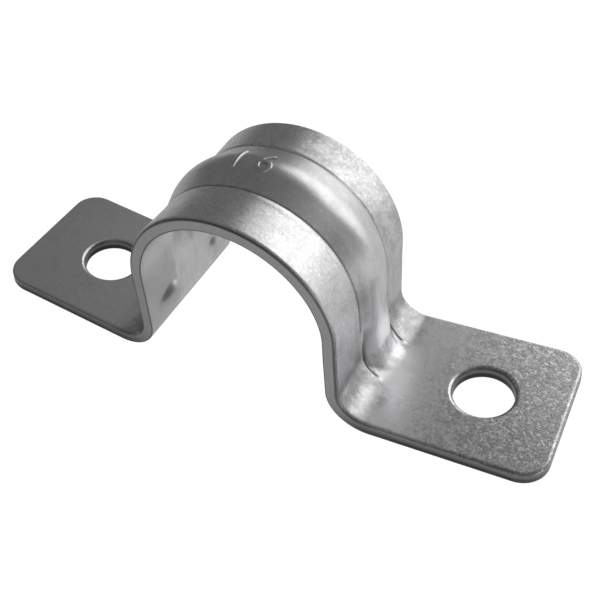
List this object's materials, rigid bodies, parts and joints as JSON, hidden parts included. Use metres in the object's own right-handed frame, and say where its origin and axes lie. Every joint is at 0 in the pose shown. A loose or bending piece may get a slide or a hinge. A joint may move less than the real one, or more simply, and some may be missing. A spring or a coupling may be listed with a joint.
{
  "type": "conduit strap",
  "caption": "Stamped steel strap that saddles a round conduit and holds it to a wall, with a stiffening bead over the saddle and a flat screw ear on either side.",
  "frame": {"origin": "on the conduit's axis, in the middle of the strap's width; the wall lies 9.68 mm below it, under the two folds", "axes": "+Y along the conduit, +X towards the longer ear, +Z away from the wall, from the wall towards the top of the saddle"},
  "size_m": [0.0578, 0.0152, 0.0208],
  "materials": {
    "zinc_steel": "bright zinc plate, satin and finely speckled, with light scratches"
  },
  "bodies": {
    "root": {"strap": "zinc_steel"}
  },
  "joints": []
}
